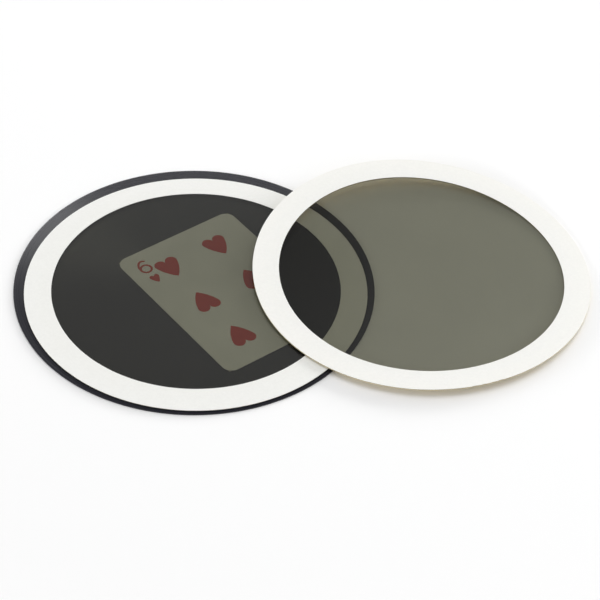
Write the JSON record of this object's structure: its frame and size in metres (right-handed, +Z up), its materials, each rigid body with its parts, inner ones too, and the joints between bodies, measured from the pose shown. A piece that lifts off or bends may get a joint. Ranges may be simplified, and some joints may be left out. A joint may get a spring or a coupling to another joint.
{
  "type": "polarising filter card set",
  "caption": "Thin black disc with a playing card under a white-ringed polarising film, and a loose white-ringed polarising film disc that leans on its edge.",
  "frame": {"origin": "centre of the black board's underside, on the surface that it lies on", "axes": "+Z up; +X from the board towards the loose filter; +Y away from the viewer"},
  "size_m": [0.2605, 0.172, 0.0072],
  "materials": {
    "black_board": "satin",
    "tape": "matte",
    "black_tape": "matte",
    "card_stock": "satin",
    "red_ink": "satin",
    "base_film": "gloss",
    "filter_film": "gloss",
    "base_ring_stock": "satin",
    "filter_ring_stock": "matte"
  },
  "bodies": {
    "base": {"backing_board": "black_board", "card_tape": "tape", "playing_card": "card_stock", "card_pips": "red_ink", "card_numerals": "red_ink", "card_corner_hearts": "red_ink", "mounting_tape": "black_tape", "base_film": "base_film", "base_ring_tape": "tape", "base_ring": "base_ring_stock"},
    "filter": {"filter_lower_ring": "filter_ring_stock", "filter_lower_tape": "tape", "filter_film": "filter_film", "filter_upper_tape": "tape", "filter_upper_ring": "filter_ring_stock"}
  },
  "joints": [
    {"name": "filter_lift", "type": "slide", "parent": "base", "child": "filter", "axis": [0, 0, 1], "range_m": [0, 0.08]}
  ]
}
